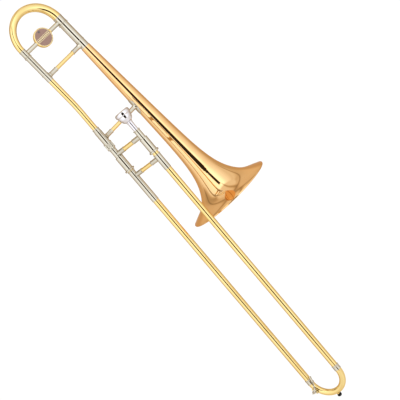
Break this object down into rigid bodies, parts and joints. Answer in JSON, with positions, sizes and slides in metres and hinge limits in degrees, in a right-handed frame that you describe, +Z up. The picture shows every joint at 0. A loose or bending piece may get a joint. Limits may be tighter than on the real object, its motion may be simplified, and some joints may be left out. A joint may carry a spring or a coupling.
{
  "type": "tenor trombone",
  "caption": "Straight tenor trombone with a working hand slide, tuning slide with round counterweight, turning slide section, locks, water key and mouthpiece.",
  "frame": {"origin": "front face of the neck receiver, on the axis of the lower slide tube", "axes": "+Y forward along the slide, +Z up from the lower slide tube to the upper one, bell section to the left (-X)"},
  "size_m": [0.2639, 1.1388, 0.2139],
  "materials": {
    "gold_brass": "clear lacquer over polished gold brass",
    "yellow_brass": "clear lacquer over polished yellow brass",
    "nickel_silver": "clear lacquer over polished nickel silver",
    "hard_chrome": "hard chrome, bright",
    "silver_plate": "bright silver plate",
    "enamel": "brown enamel with a fine gilt pattern",
    "spring_steel": "plain steel",
    "rubber": "black rubber",
    "cork": "natural cork",
    "felt": "black felt"
  },
  "bodies": {
    "bell_section": {"bell": "gold_brass", "bell_rim": "gold_brass", "bell_sleeve": "nickel_silver", "bell_sleeve_bands": "nickel_silver", "neck_sleeve": "nickel_silver", "neck_sleeve_bands": "nickel_silver", "gooseneck": "yellow_brass", "neck_receiver": "nickel_silver", "upper_brace_tube": "yellow_brass", "upper_brace_bell_socket": "nickel_silver", "upper_brace_neck_socket": "nickel_silver", "lower_brace_tube": "yellow_brass", "lower_brace_bell_socket": "nickel_silver", "lower_brace_bell_plate": "nickel_silver", "lower_brace_neck_socket": "nickel_silver"},
    "tuning_slide": {"tuning_crook": "yellow_brass", "tuning_leg_bell": "nickel_silver", "tuning_leg_neck": "nickel_silver", "crook_ferrule_bell": "nickel_silver", "crook_ferrule_neck": "nickel_silver", "tuning_brace_bell_stub": "nickel_silver", "tuning_brace_neck_stub": "nickel_silver", "counterweight": "yellow_brass", "counterweight_inlay": "enamel", "counterweight_screw": "spring_steel"},
    "inner_slide": {"slide_tenon": "nickel_silver", "cork_barrel_upper": "nickel_silver", "cork_barrel_lower": "nickel_silver", "inner_tube_upper": "hard_chrome", "inner_tube_lower": "hard_chrome", "stocking_upper": "hard_chrome", "stocking_lower": "hard_chrome", "leadpipe": "yellow_brass", "mouthpiece_receiver": "nickel_silver", "slide_felts": "felt", "fixed_brace_tube": "yellow_brass", "fixed_brace_upper_socket": "nickel_silver", "fixed_brace_lower_socket": "nickel_silver"},
    "lock_nut": {"bell_lock_nut": "nickel_silver"},
    "slide_lock": {"slide_lock_ring": "nickel_silver"},
    "outer_slide": {"outer_tube_upper": "yellow_brass", "outer_tube_lower": "yellow_brass", "oversleeve_upper": "nickel_silver", "oversleeve_lower": "nickel_silver", "hand_brace_tube": "yellow_brass", "hand_brace_upper_socket": "nickel_silver", "hand_brace_lower_socket": "nickel_silver", "bow_ferrule_upper": "nickel_silver", "bow_ferrule_lower": "nickel_silver", "end_bow": "yellow_brass", "bumper_holder": "yellow_brass", "slide_bumper": "rubber", "water_key_nipple": "nickel_silver", "water_key_saddle": "yellow_brass", "water_key_screw": "spring_steel", "water_key_spring": "spring_steel"},
    "water_key": {"water_key_lever": "nickel_silver", "water_key_cork": "cork"},
    "mouthpiece": {"mouthpiece": "silver_plate"}
  },
  "joints": [
    {"name": "tuning_slide_pull", "type": "slide", "parent": "bell_section", "child": "tuning_slide", "axis": [0.0721, -0.9968, -0.0352], "range_m": [0, 0.06]},
    {"name": "slide_section_turn", "type": "hinge", "parent": "bell_section", "child": "inner_slide", "pos_m": [0, 0, 0], "axis": [0, 1, 0], "range_deg": [-12, 26]},
    {"name": "lock_nut_turn", "type": "hinge", "parent": "bell_section", "child": "lock_nut", "pos_m": [0, 0, 0], "axis": [0, 1, 0], "range_deg": [0, 350]},
    {"name": "slide_lock_turn", "type": "hinge", "parent": "inner_slide", "child": "slide_lock", "pos_m": [0, 0.07, 0], "axis": [0, 1, 0], "range_deg": [0, 22]},
    {"name": "hand_slide", "type": "slide", "parent": "inner_slide", "child": "outer_slide", "axis": [0, 1, 0], "range_m": [0, 0.6]},
    {"name": "water_key_press", "type": "hinge", "parent": "outer_slide", "child": "water_key", "pos_m": [0.01209, 0.73814, 0.00356], "axis": [0, -0.9272, -0.3746], "range_deg": [0, 7], "stiffness_Nm_per_rad": 0.05, "springref_deg": -22.92},
    {"name": "mouthpiece_pull", "type": "slide", "parent": "inner_slide", "child": "mouthpiece", "axis": [0, -1, 0], "range_m": [0, 0.06]}
  ]
}
